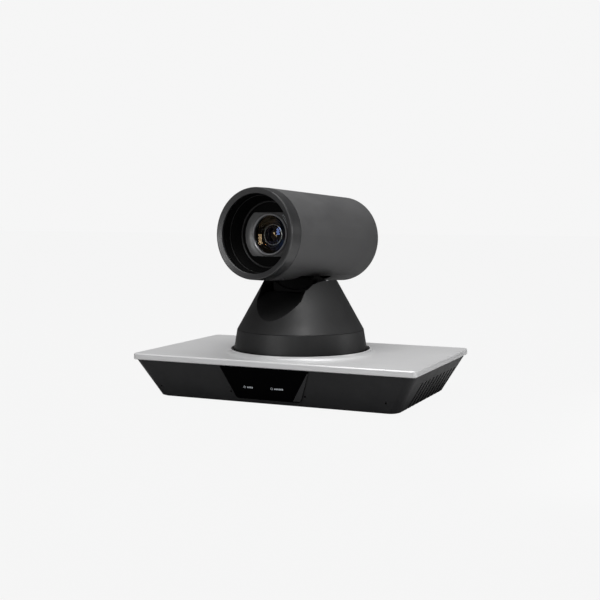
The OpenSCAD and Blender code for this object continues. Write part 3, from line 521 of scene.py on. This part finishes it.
PANEL_Y, PORT_Z = 60.3, 16.5
USB_X, HDMI_X, LAN_X, SDI_X, DC_X = -22, 0, -42, 26, 46
AUDIO_X = {"rose": -56, "green": -67}
SERIAL_X, SERIAL_RISE = -80, {"lower": -6, "upper": 6}
SERIAL_PINS = ((-2.4, 1.2), (-0.8, 1.8), (0.8, 1.8), (2.4, 1.2), (-2.7, -0.6), (2.7, -0.6), (-1.2, -2.2),
               (1.2, -2.2))
ROCKER_X, ROCKER_Y, ROCKER_TURN = 74, PANEL_Y - 3, math.radians(8)
PAD_Y, PAD_Z, PAD_LEAN = 6.7, 3.8, math.atan2(1.4, 7.6)
# an arc_band that closes a ring stops just short of its own start
FULL_TURN = 359.9


def at_port(x, rise=0):
    return leant((x, PANEL_Y, PORT_Z + rise), 0)


def bars(name, look, place, xs, half, y_low, y_high, z_low, z_high, drop=0.0):
    """A row of contacts. drop lowers their inner ends."""
    verts, faces = [], []
    for x in xs:
        first = len(verts)
        for y, fall in ((y_low, drop), (y_high, 0.0)):
            verts += [(x - half, y, z_low - fall), (x + half, y, z_low - fall),
                      (x + half, y, z_high - fall), (x - half, y, z_high - fall)]
        sides = [(0, 1, 2, 3), (7, 6, 5, 4), (0, 4, 5, 1), (1, 5, 6, 2), (2, 6, 7, 3), (3, 7, 4, 0)]
        faces += [tuple(first + k for k in side) for side in sides]
    return solid(name, "base", look, place, verts, faces)


def make_data_ports():
    usb, hdmi, lan = at_port(USB_X), at_port(HDMI_X), at_port(LAN_X)
    prism("usb_tongue", "base", "ptfe", usb, rectangle(0, 1.35, 10.9, 1.7, 0.2), -12.1, 0.9)
    bars("usb_contacts", "gold_contact", usb, (-3.5, -1.2, 1.2, 3.5), 0.5, -9, 0.5, 0.42, 0.52)
    prism("hdmi_tongue", "base", "jack_plastic", hdmi, rectangle(0, 0.3, 11.2, 1.1, 0.2), -9.0, 0.9)
    bars("hdmi_contacts", "gold_contact", hdmi, [-4.5 + k for k in range(10)], 0.22, -7, 0.6, -0.33, -0.24)
    corner = [[(-7.05, -2.35), (-4.9, -2.35), (-7.05, -0.6)], [(7.05, -2.35), (7.05, -0.6), (4.9, -2.35)]]
    joined("hdmi_corners", "base", [
        prism("corner", "base", "port_metal", hdmi, c, -9.0, 2.2) for c in corner])
    pins = [-3.57 + 1.02 * k for k in range(8)]
    bars("lan_contacts", "gold_contact", lan, pins, 0.22, -9, -0.6, 3.4, 3.7, 2.6)
    prism("lan_liner", "base", "jack_plastic", lan, rectangle(0, 0, 11.6, 8.2), -12.2, -9.2)
    prism("lan_pipe_left", "base", "green_pipe", lan, rectangle(-4.4, 6.0, 2.8, 1.3, 0.2), 1.4, 2.05)
    prism("lan_pipe_right", "base", "amber_pipe", lan, rectangle(4.4, 6.0, 2.8, 1.3, 0.2), 1.4, 2.05)


def make_round_jacks():
    sdi, dc = at_port(SDI_X), at_port(DC_X)
    lathe("sdi_insulator", "base", "ptfe", sdi, tube(1.15, 3.35, 2.05, 4.4), 64)
    tip = [(0.35, 8.7), (0.85, 8.9), (0.85, 9.5), (0.35, 9.3)]
    lathe("sdi_contact", "base", "gold_contact", sdi, tip, 32)
    sleeve = [(1.02, -7.9), (1.2, -7.9), (1.2, 1.6), (1.02, 1.9)]
    lathe("dc_sleeve", "base", "port_metal", dc, sleeve, 48)
    lathe("dc_liner", "base", "port_metal", dc, tube(2.75, 2.98, -7.9, 1.6), 48)
    for tag, x in AUDIO_X.items():
        flange = [(1.9, 2.95), (2.9, 2.95), (2.9, 3.1), (2.6, 3.25), (1.9, 3.25)]
        lathe(tag + "_jack", "base", tag + "_ring", at_port(x), flange, 48)
        lathe(tag + "_jack_spring", "base", "port_metal", at_port(x), tube(1.55, 1.78, -9, 1.6), 48)
    for tag, rise in SERIAL_RISE.items():
        place = at_port(SERIAL_X, rise)
        lathe("din_block_" + tag, "base", "jack_plastic", place, tube(0.01, 4.0, -4.4, 0.2), 48)
        lathe("din_shield_" + tag, "base", "port_metal", place, tube(4.3, 4.55, -4.4, 1.9), 64)
        joined("din_sockets_" + tag, "base", [
            prism("pin", "base", "gold_contact", place, arc_band(x, z, 0.14, 0.4, 0, FULL_TURN, 12), 0.1, 0.3)
            for x, z in SERIAL_PINS])


def make_rocker_marks():
    """The bar and the ring on the two halves of the power rocker."""
    rocker = leant((ROCKER_X, ROCKER_Y, PORT_Z), ROCKER_TURN)
    upper = rocker @ leant((0, PAD_Y, PAD_Z), -PAD_LEAN)
    lower = rocker @ leant((0, PAD_Y, -PAD_Z), PAD_LEAN)
    ring_mark = arc_band(0, 0, 1.1, 1.55, 0, FULL_TURN, 32)
    prism("on_mark", "power_rocker", "print_white", upper, rectangle(0, 0, 0.5, 3.0), -0.1, 0.04)
    prism("off_mark", "power_rocker", "print_white", lower, ring_mark, -0.1, 0.04)


def make_label():
    """A blank film label under the base."""
    under = leant((0, -30, FRONT_FOOT[2]), math.pi / 2)
    prism("label", "base", "label_film", under, rectangle(0, 0, 52, 22, 1.5), -0.12, 0.05)


make_lens()
make_ticks()
make_window()
make_data_ports()
make_round_jacks()
make_rocker_marks()
make_label()


# ---------------------------------------------------------------- stage, light and camera

TARGET = Vector((-0.0025, 0.0017, 0.0785))
DISTANCE = 0.860
AZIMUTH = math.radians(24.22)
ELEVATION = math.radians(4.83)
LENS_MM = 62.35

BACKDROP = 0.92
AMBIENT = 0.10
FLOOR_GLOW = BACKDROP * 0.99
FLOOR_REACH = 6.0


def look_at(thing, place, aim):
    thing.location = place
    thing.rotation_euler = (aim - place).to_track_quat("-Z", "Y").to_euler()


def make_camera():
    data = bpy.data.cameras.new("camera")
    data.lens = LENS_MM
    data.sensor_width = 36
    data.clip_start = 0.02
    camera = bpy.data.objects.new("camera", data)
    bpy.context.scene.collection.objects.link(camera)
    out = Vector((math.sin(AZIMUTH) * math.cos(ELEVATION), -math.cos(AZIMUTH) * math.cos(ELEVATION),
                  math.sin(ELEVATION)))
    look_at(camera, TARGET + out * DISTANCE, TARGET)
    bpy.context.scene.camera = camera


def area_light(name, place, aim, size, power):
    data = bpy.data.lights.new(name, "AREA")
    data.shape = "RECTANGLE"
    data.size, data.size_y = size
    data.energy = power
    light = bpy.data.objects.new(name, data)
    light.visible_camera = False
    bpy.context.scene.collection.objects.link(light)
    look_at(light, Vector(place), Vector(aim))


def seen_white(tree, lit, white):
    """The eye sees the pale backdrop, and the object is lit by the dimmer value.

    This is what black cards round a product table do.
    """
    mix = put(tree, "MixShader")
    for index, value in enumerate((put(tree, "LightPath").outputs["Is Camera Ray"], lit, white)):
        feed(tree, mix.inputs[index], value)
    return mix.outputs[0]


def make_world():
    world = bpy.data.worlds.new("studio")
    world.use_nodes = True
    tree = world.node_tree
    white = put(tree, "Background", Color=(1, 1, 1, 1), Strength=BACKDROP).outputs[0]
    dim = put(tree, "Background", Color=(1, 1, 1, 1), Strength=AMBIENT).outputs[0]
    set_up(tree, tree.nodes["World Output"], Surface=seen_white(tree, dim, white))
    bpy.context.scene.world = world


def make_floor():
    mesh = bpy.data.meshes.new("floor")
    corners = [(sx * FLOOR_REACH, sy * FLOOR_REACH, 0) for sx, sy in ((-1, -1), (1, -1), (1, 1), (-1, 1))]
    mesh.from_pydata(corners, [], [(0, 1, 2, 3)])
    floor = bpy.data.objects.new("floor", mesh)
    bpy.context.scene.collection.objects.link(floor)
    mat, tree, bsdf = shader("floor_paper")
    grain = noise(tree, coords(tree), 90, 4)
    paper = blend_color(tree, grain, (0.36, 0.36, 0.36, 1), (0.41, 0.41, 0.41, 1))
    set_up(tree, bsdf, Base_Color=paper, Roughness=0.9, Specular_IOR_Level=0.1)
    both = put(tree, "AddShader")
    feed(tree, both.inputs[0], put(tree, "BsdfDiffuse", Color=(0.006, 0.006, 0.006, 1)).outputs[0])
    feed(tree, both.inputs[1], put(tree, "Emission", Color=(1, 1, 1, 1), Strength=FLOOR_GLOW).outputs[0])
    surface = seen_white(tree, bsdf.outputs[0], both.outputs[0])
    set_up(tree, tree.nodes["Material Output"], Surface=surface)
    floor.data.materials.append(mat)


def make_stage():
    bpy.context.scene.view_settings.view_transform = "Standard"
    make_world()
    make_floor()
    area_light("top_softbox", (0.05, -0.05, 1.0), (0, 0, 0.08), (0.9, 0.7), 9)
    area_light("front_softbox", (0.41, -0.75, 1.05), (0, 0, 0.09), (0.35, 0.35), 4.5)
    area_light("left_softbox", (-0.42, -1.25, 0.42), (0, 0, 0.09), (0.25, 0.4), 3.2)
    area_light("right_softbox", (1.2, 0.4, 0.3), (0, 0, 0.05), (0.5, 0.3), 1.8)
    area_light("floor_wash", (0.38, -0.06, 0.034), (0.38, -0.06, 0), (0.30, 0.35), 1.5)


make_camera()
make_stage()
